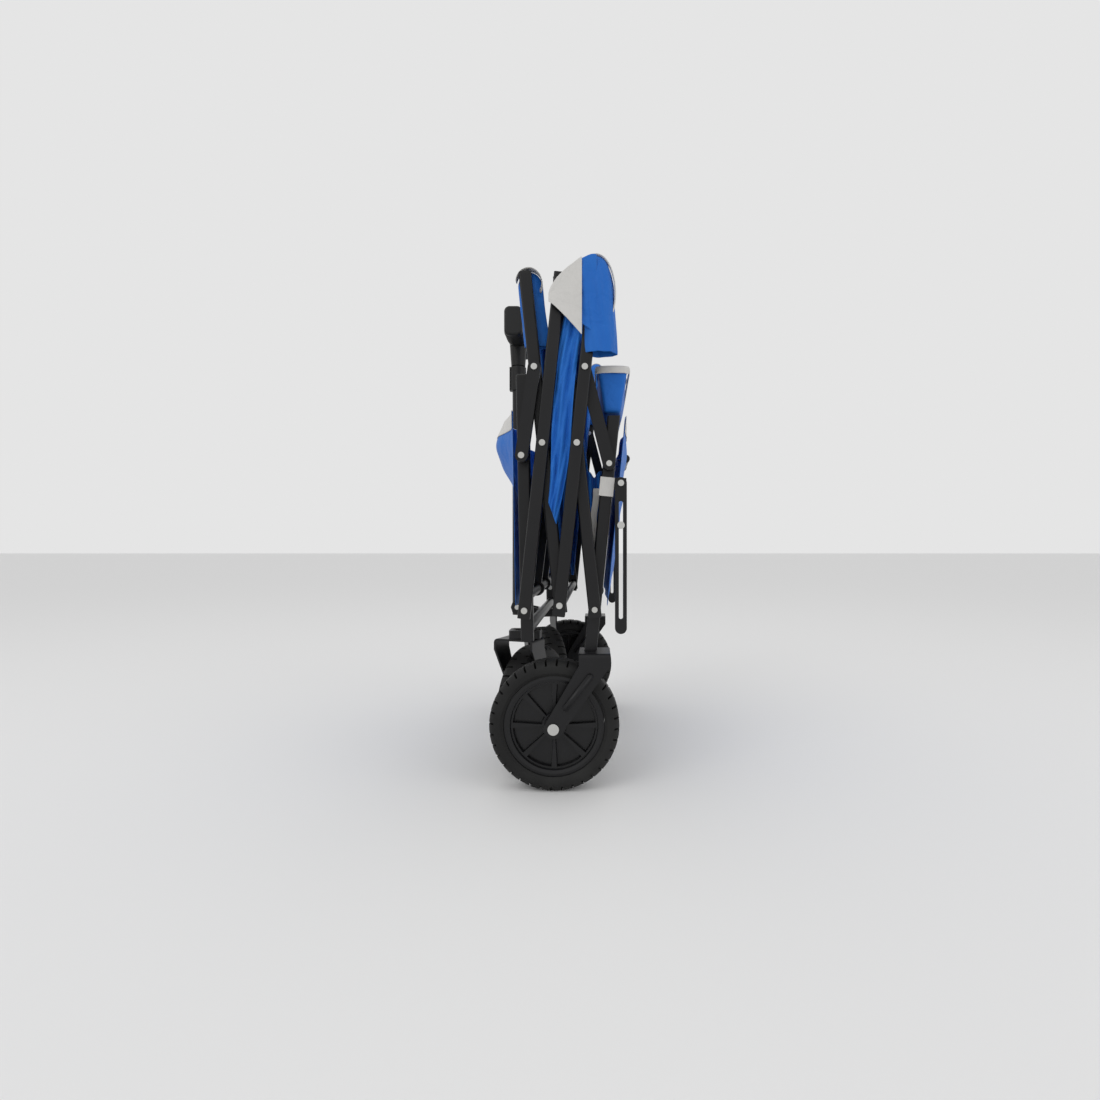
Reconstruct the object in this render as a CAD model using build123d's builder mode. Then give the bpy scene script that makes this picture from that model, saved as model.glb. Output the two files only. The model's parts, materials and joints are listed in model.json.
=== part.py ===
"""Folding beach cart, folded upright: scissor sides, swivel front wheels, pull handle, rear pocket.

Millimetres. +Z is up, -X is the front (handle) end, +X the rear. The cart stands on its wheels at Z = 0.
Each side of the cart is the mirror image of the other in the XZ plane, and each pair of bars is one part.
"""
from math import atan2, cos, degrees, radians, sin
import os

from build123d import *

# ---- overall places -------------------------------------------------------------------------
mid_x = -1.0              # the plane that the scissor bars fold about
side_outer = 259.0        # outer face of the outermost bars, from the centre plane
bar_depth = 12.0          # scissor bar, across the cart
bar_width = 17.0          # scissor bar, along the cart
bar_wall = 1.3
layer_gap = 1.0           # between two bars that cross
post_depth = 16.0
post_width = 17.0
post_wall = 1.5

# ---- scissor geometry at rest ---------------------------------------------------------------
fold_angle = 6.07         # each bar leans this far from upright when folded
cross_z = 466.5           # height where the two bars of one X cross
lower_arm = 216.7         # from the crossing down to the centre pin
foot_arm = 223.4          # from the crossing down to the post pin
tall_arm = 231.0          # from the crossing up to the tip of the tall bars
link_arm = 101.0          # from the crossing up to the link pin
bar_end = 11.0            # length of bar past its last pin

# ---- posts ----------------------------------------------------------------------------------
front_pin_x, front_pin_z = 50.5, 449.8    # front post: link pin, distance in front of the fold plane
rear_pin_x, rear_pin_z = 66.0, 440.8      # rear post: link pin, distance behind the fold plane
front_post_top, front_post_foot = 560.0, 200.0
rear_post_top, rear_post_foot = 508.0, 187.3

# ---- pins -----------------------------------------------------------------------------------
pin_r, pin_head_r, pin_head = 3.0, 4.2, 2.4
small_head_r = 3.9
run_fit = 0.05            # radial clearance of a turning fit
seat_gap = 0.3            # between faces that only rest near each other

# ---- cross tubes ----------------------------------------------------------------------------
cross_r, cross_wall = 8.0, 1.5
low_cross_z, floor_cross_z, high_cross_z = 215.0, 262.0, 422.0

# ---- wheels ---------------------------------------------------------------------------------
wheel_r, wheel_w, tyre_inner_r = 88.0, 42.0, 68.0
tread_depth, tread_count, tread_gap = 2.4, 36, 2.6
rim_lip_r, hub_r, axle_r = 60.0, 14.0, 5.0
fork_gap, fork_plate = 7.0, 3.0
fork_foot_r = 13.0
rear_wheel_x, rear_wheel_y = -9.0, 229.0
rear_crown_x, rear_crown_len, crown_z = 45.5, 42.0, 187.0
caster_x, caster_y, caster_trail, caster_turn = -66.0, 162.0, 50.0, 70.0
caster_crown_z, stem_r = 195.0, 6.0

# ---- floor ----------------------------------------------------------------------------------
floor_len, floor_rise = 306.0, 83.1
floor_bar, floor_eye_r = 12.0, 12.0
floor_front_y, floor_rear_y = 70.0, 110.0
floor_board_half, floor_board = 195.0, 4.0

# ---- handle ---------------------------------------------------------------------------------
handle_x, handle_pivot_z = -87.0, 226.0
handle_r, handle_wall, handle_top_z = 10.0, 1.4, 640.0
inner_tube_foot_z = 380.0
grip_top_z, grip_len, grip_x, grip_z, grip_neck = 720.0, 140.0, 30.0, 48.0, 30.0

# ---- rear stays and pocket ------------------------------------------------------------------
stay_x, stay_top_z, stay_foot_z, stay_w, stay_t = 81.0, 415.0, 219.0, 16.0, 3.0
stay_y = 238.0
slot_w, slot_top_z, slot_foot_z, stop_z = 5.6, 388.0, 234.0, 358.0
pocket_top_z, pocket_foot_z, pocket_half = 578.0, 512.0, 231.0
pocket_mouth, pocket_base = 48.0, 28.0
panel_t, panel_clear = 3.0, 4.5
carry_x, carry_z, carry_r, carry_len = 96.0, 473.0, 6.0, 120.0

# ---- worked-out places ----------------------------------------------------------------------
lean_x, lean_z = sin(radians(fold_angle)), cos(radians(fold_angle))
front_cross = (mid_x - lower_arm * lean_x, cross_z)
rear_cross = (mid_x + lower_arm * lean_x, cross_z)
centre_foot = (mid_x, cross_z - lower_arm * lean_z)
centre_top = (mid_x, cross_z + lower_arm * lean_z)
front_foot = (front_cross[0] - foot_arm * lean_x, cross_z - foot_arm * lean_z)
rear_foot = (rear_cross[0] + foot_arm * lean_x, cross_z - foot_arm * lean_z)
front_link = (front_cross[0] - link_arm * lean_x, cross_z + link_arm * lean_z)
rear_link = (rear_cross[0] + link_arm * lean_x, cross_z + link_arm * lean_z)
front_tip = (front_cross[0] - tall_arm * lean_x, cross_z + tall_arm * lean_z)
rear_tip = (rear_cross[0] + tall_arm * lean_x, cross_z + tall_arm * lean_z)
front_pin = (mid_x - front_pin_x, front_pin_z)
rear_pin = (mid_x + rear_pin_x, rear_pin_z)

outer_y = side_outer                                   # layer A: outer face
inner_y = side_outer - bar_depth - layer_gap           # layer B: outer face
post_y = inner_y - bar_depth - layer_gap               # posts: outer face
post_inside = post_y - post_depth                      # posts: inner face


def along(a, b, z):
    """X of the line through the XZ points a and b at height z."""
    return a[0] + (b[0] - a[0]) * (z - a[1]) / (b[1] - a[1])


def shifted(a, b, past):
    """The XZ point that lies past b by the given length, coming from a."""
    turn = atan2(b[0] - a[0], b[1] - a[1])
    return (b[0] + past * sin(turn), b[1] + past * cos(turn))


def side_bar(a, b, face_y, width, depth, wall, holes):
    """Pair of straight rectangular tubes from a to b, with pin holes: (point, radius)."""
    rise = Vector(b[0] - a[0], 0, b[1] - a[1])
    start = Plane((a[0], -face_y + depth / 2, a[1]), x_dir=(0, 1, 0), z_dir=rise)
    with BuildPart() as bar:
        with BuildSketch(start):
            RectangleRounded(depth, width, 2.5)
            RectangleRounded(depth - 2 * wall, width - 2 * wall, 1.4, mode=Mode.SUBTRACT)
        extrude(amount=rise.length)
        for (x, z), r in holes:
            with Locations(Location((x, -face_y + depth / 2, z), (90, 0, 0))):
                Cylinder(r, depth + 2, mode=Mode.SUBTRACT)
        mirror(about=Plane.XZ)
    return bar


def flat_link(a, b, face_y, holes):
    """Pair of links with round ends, as deep as a bar."""
    with BuildPart() as link:
        with BuildSketch(Plane((0, -face_y, 0), x_dir=(1, 0, 0), z_dir=(0, -1, 0))):
            turn = degrees(atan2(b[1] - a[1], b[0] - a[0]))
            with Locations(Location(((a[0] + b[0]) / 2, (a[1] + b[1]) / 2, 0), (0, 0, turn))):
                SlotCenterToCenter(Vector(b[0] - a[0], b[1] - a[1]).length, bar_width)
            for point, r in holes:
                with Locations(point):
                    Circle(r, mode=Mode.SUBTRACT)
        extrude(amount=-bar_depth)
        mirror(about=Plane.XZ)
    return link


def side_pins(stacks):
    """Pins on both sides. A stack is a point and its (radius, outer y, inner y) turned lengths."""
    with BuildPart() as pins:
        for (x, z), lengths in stacks:
            for r, y0, y1 in lengths:
                with Locations(Location((x, -(y0 + y1) / 2, z), (90, 0, 0))):
                    Cylinder(r, y0 - y1)
        mirror(about=Plane.XZ)
    return pins


def cross_tube(x, z, half, r, wall):
    """Round tube across the cart, added to the part being built."""
    with BuildSketch(Plane.XZ.offset(-half)) as ring:
        with Locations((x, z)):
            Circle(r)
            Circle(r - wall, mode=Mode.SUBTRACT)
    extrude(ring.sketch, amount=2 * half)


def save(part, name):
    part.part.label = name
    export_step(part.part, f"parts/{name}.step")


os.makedirs("parts", exist_ok=True)
loose = pin_r + run_fit

# ---- the four pairs of scissor bars -----------------------------------------------------------
save(side_bar(shifted(front_cross, front_foot, bar_end), shifted(front_cross, centre_top, bar_end),
              outer_y, bar_width, bar_depth, bar_wall,
              [(front_foot, loose), (front_cross, pin_r), (centre_top, pin_r)]), "front_long_bars")
save(side_bar(shifted(front_cross, centre_foot, bar_end), front_tip,
              inner_y, bar_width, bar_depth, bar_wall,
              [(centre_foot, pin_r), (front_cross, loose), (front_link, pin_r)]), "front_tall_bars")
save(side_bar(shifted(rear_cross, centre_foot, bar_end), rear_tip,
              outer_y, bar_width, bar_depth, bar_wall,
              [(centre_foot, loose), (rear_cross, pin_r), (rear_link, pin_r)]), "rear_tall_bars")
save(side_bar(shifted(rear_cross, rear_foot, bar_end), shifted(rear_cross, centre_top, bar_end),
              inner_y, bar_width, bar_depth, bar_wall,
              [(rear_foot, loose), (rear_cross, loose), (centre_top, pin_r)]), "rear_long_bars")

# ---- links from the posts to the tall bars ----------------------------------------------------
save(flat_link(front_pin, front_link, outer_y, [(front_pin, loose), (front_link, pin_r)]),
     "front_links")
save(flat_link(rear_pin, rear_link, inner_y, [(rear_pin, loose), (rear_link, pin_r)]),
     "rear_links")

# ---- pins: through pins sit tight in one piece and turn in the other --------------------------
head_out = outer_y + pin_head
turn_face = outer_y + seat_gap
save(side_pins([
    (front_cross, [(pin_head_r, head_out, outer_y), (pin_r, outer_y, inner_y - bar_depth - seat_gap),
                   (pin_head_r, inner_y - bar_depth - seat_gap, inner_y - bar_depth - 1.5)]),
    (centre_top, [(pin_head_r, head_out, outer_y), (pin_r, outer_y, outer_y - bar_depth)]),
]), "front_long_bar_pins")
save(side_pins([
    (centre_foot, [(pin_head_r, turn_face + pin_head, turn_face),
                   (pin_r, turn_face, inner_y - bar_depth)]),
    (front_link, [(pin_r, inner_y, inner_y - bar_depth),
                  (pin_head_r, inner_y - bar_depth, inner_y - bar_depth - 1.5)]),
]), "front_tall_bar_pins")
save(side_pins([
    (rear_cross, [(pin_head_r, head_out, outer_y), (pin_r, outer_y, inner_y - bar_depth - seat_gap),
                  (pin_head_r, inner_y - bar_depth - seat_gap, inner_y - bar_depth - 1.5)]),
    (rear_link, [(pin_head_r, head_out, outer_y), (pin_r, outer_y, outer_y - bar_depth)]),
]), "rear_tall_bar_pins")
save(side_pins([
    (centre_top, [(pin_r, inner_y, inner_y - bar_depth),
                  (pin_head_r, inner_y - bar_depth, inner_y - bar_depth - 1.5)]),
]), "rear_long_bar_pins")
save(side_pins([
    (front_link, [(pin_head_r, head_out, outer_y), (pin_r, outer_y, outer_y - bar_depth)]),
]), "front_link_rivets")
save(side_pins([
    (rear_link, [(pin_r, inner_y, inner_y - bar_depth),
                 (pin_head_r, inner_y - bar_depth, inner_y - bar_depth - 1.5)]),
]), "rear_link_rivets")
save(side_pins([
    (point, [(pin_head_r, turn_face + pin_head, turn_face), (pin_r, turn_face, post_inside),
             (small_head_r, outer_y - bar_depth - seat_gap, post_y),
             (pin_head_r, post_inside, post_inside - 1.5)])
    for point in (front_foot, front_pin)
]), "front_post_pins")
save(side_pins([
    (point, [(small_head_r, inner_y + seat_gap + pin_head, inner_y + seat_gap),
             (pin_r, inner_y + seat_gap, post_inside), (pin_head_r, post_inside, post_inside - 1.5)])
    for point in (rear_foot, rear_pin)
]), "rear_post_pins")

# ---- end plugs of the bars --------------------------------------------------------------------
def bar_plugs(tip, root, face_y):
    """Pair of moulded plugs that close the upper ends of a pair of bars."""
    rise = Vector(tip[0] - root[0], 0, tip[1] - root[1])
    seat = Plane((tip[0], -face_y + bar_depth / 2, tip[1]), x_dir=(0, 1, 0), z_dir=rise)
    with BuildPart() as plugs:
        with BuildSketch(seat):
            RectangleRounded(bar_depth, bar_width, 2.5)
        extrude(amount=4)
        fillet(plugs.faces().sort_by(Axis(seat.origin, seat.z_dir))[-1].edges(), 1.5)
        with BuildSketch(seat):
            RectangleRounded(bar_depth - 2 * bar_wall, bar_width - 2 * bar_wall, 1.4)
        extrude(amount=-6)
        mirror(about=Plane.XZ)
    return plugs


save(bar_plugs(front_tip, front_cross, inner_y), "front_bar_plugs")
save(bar_plugs(rear_tip, rear_cross, outer_y), "rear_bar_plugs")
foot_tip = shifted(rear_cross, centre_foot, bar_end)
save(bar_plugs(foot_tip, rear_cross, outer_y), "bar_foot_plugs")

# ---- centre cross tube, fixed between the front tall bars --------------------------------------
with BuildPart() as centre_tube:
    cross_tube(*centre_foot, inner_y - bar_depth, cross_r - 1, cross_wall)
save(centre_tube, "centre_cross_tube")


# ---- front frame --------------------------------------------------------------------------------
def post_pair(foot_pin, link_pin, foot_z, top_z):
    """Pair of upright posts, cut level at the foot and at the top."""
    a = (along(foot_pin, link_pin, foot_z - 20), foot_z - 20)
    b = (along(foot_pin, link_pin, top_z + 20), top_z + 20)
    bar = side_bar(a, b, post_y, post_width, post_depth, post_wall,
                   [(foot_pin, pin_r), (link_pin, pin_r)])
    with BuildPart() as posts:
        add(bar.part)
        split(bisect_by=Plane.XY.offset(foot_z), keep=Keep.TOP)
        split(bisect_by=Plane.XY.offset(top_z), keep=Keep.BOTTOM)
    return posts


def post_plugs(foot_pin, link_pin, top_z):
    """Pair of domed plugs in the tops of the posts."""
    with BuildPart() as plugs:
        x = along(foot_pin, link_pin, top_z)
        with BuildSketch(Plane.XY.offset(top_z)):
            with Locations((x, -post_y + post_depth / 2)):
                RectangleRounded(post_width, post_depth, 3)
        extrude(amount=5)
        fillet(plugs.faces().sort_by(Axis.Z)[-1].edges(), 3)
        mirror(about=Plane.XZ)
    return plugs


save(post_pair(front_foot, front_pin, front_post_foot, front_post_top), "front_posts")
save(post_plugs(front_foot, front_pin, front_post_top), "front_post_plugs")

front_line = (front_foot, front_pin)
rear_line = (rear_foot, rear_pin)
with BuildPart() as front_tubes:
    for z in (low_cross_z, floor_cross_z, high_cross_z):
        cross_tube(along(*front_line, z), z, post_inside, cross_r, cross_wall)
save(front_tubes, "front_cross_tubes")

bracket_top = low_cross_z - cross_r
with BuildPart() as caster_brackets:
    bracket_x = (caster_x + along(*front_line, low_cross_z)) / 2
    with Locations((bracket_x, -caster_y, (bracket_top + caster_crown_z + seat_gap) / 2)):
        Box(46, 34, bracket_top - caster_crown_z - seat_gap)
    fillet(caster_brackets.edges().filter_by(Axis.Z), 6)
    with Locations((caster_x, -caster_y, bracket_top)):
        Cylinder(stem_r + run_fit, 40, mode=Mode.SUBTRACT)
    mirror(about=Plane.XZ)
save(caster_brackets, "caster_brackets")

low_x = along(*front_line, low_cross_z)
ear_t, ear_gap = 4.0, 24.0
with BuildPart() as handle_bracket:
    with BuildSketch(Plane.XZ.offset(ear_gap / 2)):
        with BuildLine():
            Polyline((low_x - 2, low_cross_z + cross_r + seat_gap), (handle_x - 8, handle_pivot_z + 8),
                     (handle_x - 11, handle_pivot_z), (handle_x - 8, handle_pivot_z - 9),
                     (low_x - cross_r - seat_gap, low_cross_z - 6),
                     (low_x - cross_r - seat_gap, low_cross_z + 4),
                     (low_x - 6, low_cross_z + cross_r + seat_gap), close=True)
        make_face()
        with Locations((handle_x, handle_pivot_z)):
            Circle(pin_r, mode=Mode.SUBTRACT)
    extrude(amount=ear_t)
    mirror(about=Plane.XZ)
    with Locations((low_x - cross_r - seat_gap - 3, 0, low_cross_z + 2)):
        Box(6, ear_gap + 2 * ear_t, 12)
save(handle_bracket, "handle_bracket")

# ---- front and rear cloth panels: plain slabs between the posts ---------------------------------
def post_panel(line, side, foot_z, top_z):
    """Slab of cloth just outside the cross tubes, on the side given as -1 or 1."""
    with BuildPart() as panel:
        near = cross_r + panel_clear
        with BuildSketch(Plane.XZ.offset(-post_inside + 3)):
            with BuildLine():
                foot_x, top_x = along(*line, foot_z), along(*line, top_z)
                Polyline((foot_x + side * near, foot_z), (top_x + side * near, top_z),
                         (top_x + side * (near + panel_t), top_z),
                         (foot_x + side * (near + panel_t), foot_z), close=True)
            make_face()
        extrude(amount=2 * (post_inside - 3))
    return panel


save(post_panel(front_line, -1, 246, 520), "front_panel")
save(post_panel(rear_line, 1, 246, pocket_foot_z - seat_gap), "rear_panel")

# ---- rear frame -----------------------------------------------------------------------------------
save(post_pair(rear_foot, rear_pin, rear_post_foot, rear_post_top), "rear_posts")
with BuildPart() as rear_tubes:
    for z in (low_cross_z, floor_cross_z, high_cross_z):
        cross_tube(along(*rear_line, z), z, post_inside, cross_r, cross_wall)
save(rear_tubes, "rear_cross_tubes")


# ---- wheels, forks and axles ------------------------------------------------------------------------
fork_half = wheel_w / 2 + fork_gap


def wheel_place(x, y, turn):
    """Plane through a wheel's centre, with its normal along the axle."""
    return Plane(Location((x, y, wheel_r), (0, 0, turn)) * Location((0, 0, 0), (90, 0, 0)))


def make_tyre(place):
    with BuildPart() as tyre:
        shoulder = wheel_w / 2
        with BuildSketch(Plane.XY):
            with BuildLine():
                Polyline((tyre_inner_r, -shoulder + 3), (tyre_inner_r, shoulder - 3))
                Polyline((tyre_inner_r, shoulder - 3), (tyre_inner_r + 4, shoulder))
                Spline((tyre_inner_r + 4, shoulder), (wheel_r - 5, shoulder - 1.5), (wheel_r, shoulder - 9))
                Line((wheel_r, shoulder - 9), (wheel_r, -shoulder + 9))
                Spline((wheel_r, -shoulder + 9), (wheel_r - 5, -shoulder + 1.5),
                       (tyre_inner_r + 4, -shoulder))
                Polyline((tyre_inner_r + 4, -shoulder), (tyre_inner_r, -shoulder + 3))
            make_face()
        revolve(axis=Axis.Y)
        for side in (-1, 1):
            with BuildSketch(Plane.XZ.offset(-side * shoulder)):
                with PolarLocations(wheel_r - tread_depth, tread_count, start_angle=side * 2.5):
                    Rectangle(2 * tread_depth + 4, tread_gap)
            extrude(amount=side * (shoulder - 5), mode=Mode.SUBTRACT)
    return place_wheel_part(tyre, place)


def place_wheel_part(piece, place):
    """A wheel part is made about the Y axis at the origin, then set at its axle."""
    x, y, turn = place
    with BuildPart() as placed:
        with Locations(Location((x, y, wheel_r), (0, 0, turn))):
            add(piece.part)
    return placed


def make_rim(place):
    with BuildPart() as rim:
        with BuildSketch(Plane.XY):
            with BuildLine():
                half = wheel_w / 2 - 4
                Polyline((rim_lip_r, half + 1), (tyre_inner_r, half + 1), (tyre_inner_r, -half - 1),
                         (rim_lip_r, -half - 1), (rim_lip_r + 1.5, -half + 5), (rim_lip_r + 1.5, half - 5),
                         close=True)
            make_face()
        revolve(axis=Axis.Y)
        for r, depth in ((rim_lip_r + 2, 4.0), (hub_r, wheel_w + 4)):
            with Locations(Location((0, 0, 0), (90, 0, 0))):
                Cylinder(r, depth)
        for i in range(8):
            spin = Location((0, 0, 0), (0, 45 * i, 0))
            with Locations(spin * Location(((hub_r + rim_lip_r) / 2, 0, 0))):
                Box(rim_lip_r - hub_r + 2, 18, 2.5)
        for i in range(0, 8, 2):
            with Locations(Location((0, 0, 0), (0, 45 * i + 22.5, 0))):
                with Locations(((hub_r + rim_lip_r) / 2 + 3, 0, 0)):
                    Box(rim_lip_r - hub_r - 10, 12, 20)
        with Locations(Location((0, 0, 0), (90, 0, 0))):
            Cylinder(axle_r + run_fit, wheel_w + 8, mode=Mode.SUBTRACT)
    return place_wheel_part(rim, place)


def fork_outline(crown_from, crown_to, crown_level, foot_x):
    """Face of one fork leg in the wheel's own XZ plane, tapering to a round foot at the axle."""
    with BuildLine() as outline:
        Polyline((crown_from, crown_level), (crown_to, crown_level), (crown_to, crown_level - 16),
                 (foot_x + fork_foot_r * 0.95, wheel_r - 4))
        ThreePointArc((foot_x + fork_foot_r * 0.95, wheel_r - 4), (foot_x, wheel_r - fork_foot_r),
                      (foot_x - fork_foot_r * 0.95, wheel_r + 4))
        Polyline((foot_x - fork_foot_r * 0.95, wheel_r + 4), (crown_from, crown_level - 16),
                 (crown_from, crown_level))
    make_face(outline.edges())


def fork(crown_from, crown_to, crown_level, foot_x):
    """Inverted U of steel plate about a wheel that stands in the XZ plane."""
    with BuildPart() as piece:
        with BuildSketch(Plane.XZ.offset(-fork_half - fork_plate)):
            fork_outline(crown_from, crown_to, crown_level, foot_x)
        extrude(amount=2 * (fork_half + fork_plate))
        outer = piece.edges().filter_by(Axis.X).group_by(Axis.Z)[-1]
        fillet(outer, 6)
        middle_x = (crown_from + crown_to + 2 * foot_x) / 4
        with Locations((middle_x, 0, (crown_level - fork_plate) / 2)):
            Box(400, 2 * fork_half, crown_level - fork_plate, mode=Mode.SUBTRACT)
        with Locations(Location((foot_x, 0, wheel_r), (90, 0, 0))):
            Cylinder(axle_r, 4 * fork_half, mode=Mode.SUBTRACT)
    return piece


def axle():
    """Bolt with a domed head at each end, through both fork legs."""
    with BuildPart() as piece:
        with Locations(Location((0, 0, 0), (90, 0, 0))):
            Cylinder(axle_r, 2 * (fork_half + fork_plate))
        for side in (-1, 1):
            with BuildSketch(Plane.XZ.offset(-side * (fork_half + fork_plate))):
                Circle(axle_r + 2.5)
            extrude(amount=-side * 3.5)
    return piece


with BuildPart() as rear_forks:
    with Locations((0, -rear_wheel_y, 0)):
        add(fork(rear_crown_x - rear_crown_len / 2, rear_crown_x + rear_crown_len / 2, crown_z,
                 rear_wheel_x).part)
    mirror(about=Plane.XZ)
save(rear_forks, "rear_forks")
with BuildPart() as rear_axles:
    with Locations((rear_wheel_x, -rear_wheel_y, wheel_r)):
        add(axle().part)
    mirror(about=Plane.XZ)
save(rear_axles, "rear_axles")

# the casters trail inwards: the left one turns by +caster_turn about Z, the right one by -caster_turn
for side, name in ((-1, "left"), (1, "right")):
    turn = -side * caster_turn
    stem_at = Location((caster_x, side * caster_y, 0), (0, 0, turn))
    with BuildPart() as caster_fork:
        with Locations(stem_at):
            add(fork(-20, 22, caster_crown_z, caster_trail).part)
            with Locations((0, 0, caster_crown_z + 5.5)):
                Cylinder(stem_r, 11)
    save(caster_fork, f"front_{name}_fork")
    with BuildPart() as caster_axle:
        with Locations(stem_at * Location((caster_trail, 0, wheel_r))):
            add(axle().part)
    save(caster_axle, f"front_{name}_axle")
    wheel_x = caster_x + caster_trail * cos(radians(turn))
    wheel_y = side * caster_y + caster_trail * sin(radians(turn))
    save(make_tyre((wheel_x, wheel_y, turn)), f"front_{name}_tyre")
    save(make_rim((wheel_x, wheel_y, turn)), f"front_{name}_rim")
    save(make_tyre((rear_wheel_x, side * rear_wheel_y, 0)), f"rear_{name}_tyre")
    save(make_rim((rear_wheel_x, side * rear_wheel_y, 0)), f"rear_{name}_rim")


# ---- floor halves: bars with an eye round the floor tube, and a stiff board --------------------------
def floor_half(line, side, bar_y, with_tip):
    """Pair of floor bars that stand up when folded. side is 1 for the front half, -1 for the rear."""
    x = along(*line, floor_cross_z)
    stand = Plane((x, 0, floor_cross_z), x_dir=(0, 1, 0),
                  z_dir=(side * cos(radians(floor_rise)), 0, sin(radians(floor_rise))))
    with BuildPart() as bars:
        with BuildSketch(stand.offset(floor_eye_r - 2)):
            with Locations((-bar_y, 0), (bar_y, 0)):
                Rectangle(floor_bar, floor_bar)
        extrude(amount=floor_len - floor_eye_r)
        for y in (-bar_y, bar_y):
            with Locations(Location((x, y, floor_cross_z), (90, 0, 0))):
                Cylinder(floor_eye_r, floor_bar)
        if with_tip:
            with Locations(stand * Location((0, 0, floor_len - floor_bar / 2))):
                Box(2 * bar_y, floor_bar, floor_bar)
        with Locations(Location((x, 0, floor_cross_z), (90, 0, 0))):
            Cylinder(cross_r + run_fit, 2 * bar_y + 40, mode=Mode.SUBTRACT)
    with BuildPart() as board:
        away = floor_bar / 2 + seat_gap + floor_board / 2
        with Locations(stand * Location((0, side * away, floor_len / 2 + 12))):
            Box(2 * floor_board_half, floor_board, floor_len - 28)
    return bars, board


front_floor, front_board = floor_half(front_line, 1, floor_front_y, True)
save(front_floor, "front_floor_frame")
save(front_board, "front_floor_board")
rear_floor, rear_board = floor_half(rear_line, -1, floor_rear_y, True)
save(rear_floor, "rear_floor_frame")
save(rear_board, "rear_floor_board")

# ---- pull handle: two tubes that slide, a T grip and a keeper for the strap -------------------------
with BuildPart() as handle_tube:
    with BuildSketch(Plane.XY.offset(handle_pivot_z - 14)):
        with Locations((handle_x, 0)):
            Circle(handle_r)
    extrude(amount=handle_top_z - handle_pivot_z + 14)
    with BuildSketch(Plane.XY.offset(handle_pivot_z + 20)):
        with Locations((handle_x, 0)):
            Circle(handle_r - handle_wall)
    extrude(amount=handle_top_z - handle_pivot_z, mode=Mode.SUBTRACT)
    with Locations(Location((handle_x, 0, handle_pivot_z), (90, 0, 0))):
        Cylinder(loose, 30, mode=Mode.SUBTRACT)
save(handle_tube, "handle_outer_tube")
with BuildPart() as handle_pin:
    with Locations(Location((handle_x, 0, handle_pivot_z), (90, 0, 0))):
        Cylinder(pin_r, ear_gap + 2 * ear_t)
    for side in (-1, 1):
        with BuildSketch(Plane.XZ.offset(-side * (ear_gap / 2 + ear_t))):
            with Locations((handle_x, handle_pivot_z)):
                Circle(pin_head_r)
        extrude(amount=-side * pin_head)
save(handle_pin, "handle_pivot_pin")

collar_foot_z = handle_top_z - 42
with BuildPart() as collar:
    with BuildSketch(Plane.XY.offset(collar_foot_z)):
        with Locations((handle_x, 0)):
            Circle(handle_r + 3.5)
        with Locations((handle_x - handle_r - 2, 0)):
            Rectangle(5, 12)
        with Locations((handle_x, 0)):
            Circle(handle_r, mode=Mode.SUBTRACT)
    extrude(amount=40)
save(collar, "strap_keeper")

inner_r = handle_r - handle_wall - run_fit
with BuildPart() as inner_tube:
    with BuildSketch(Plane.XY.offset(inner_tube_foot_z)):
        with Locations((handle_x, 0)):
            Circle(inner_r)
            Circle(inner_r - handle_wall, mode=Mode.SUBTRACT)
    extrude(amount=grip_top_z - grip_z - inner_tube_foot_z)
save(inner_tube, "handle_inner_tube")
with BuildPart() as grip:
    with Locations((handle_x, 0, grip_top_z - grip_z / 2)):
        Box(grip_x, grip_len, grip_z)
    fillet(grip.edges().filter_by(Axis.Y), 9)
    fillet(grip.faces().sort_by(Axis.Y)[0].edges() + grip.faces().sort_by(Axis.Y)[-1].edges(), 4)
    neck_z = handle_top_z + seat_gap
    with BuildSketch(Plane.XY.offset(neck_z)):
        with Locations((handle_x, 0)):
            Circle(handle_r + 2)
    with BuildSketch(Plane.XY.offset(grip_top_z - grip_z + 4)):
        with Locations((handle_x, 0)):
            Circle(grip_x / 2 - 0.5)
    loft()
    with BuildSketch(Plane.XY.offset(neck_z)):
        with Locations((handle_x, 0)):
            Circle(inner_r)
    extrude(amount=grip_top_z - grip_z - neck_z, mode=Mode.SUBTRACT)
save(grip, "handle_grip")

# ---- rear pocket, its swinging stays and the carry handle -------------------------------------------
with BuildPart() as pocket:
    post_x = along(*rear_line, pocket_foot_z)
    with BuildSketch(Plane.XY.offset(pocket_foot_z)):
        with Locations((post_x + 2, 0)):
            Rectangle(pocket_base, 2 * pocket_half)
    with BuildSketch(Plane.XY.offset(pocket_top_z)):
        with Locations((post_x, 0)):
            Rectangle(pocket_mouth, 2 * pocket_half)
    loft()
save(pocket, "rear_pocket")

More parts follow.
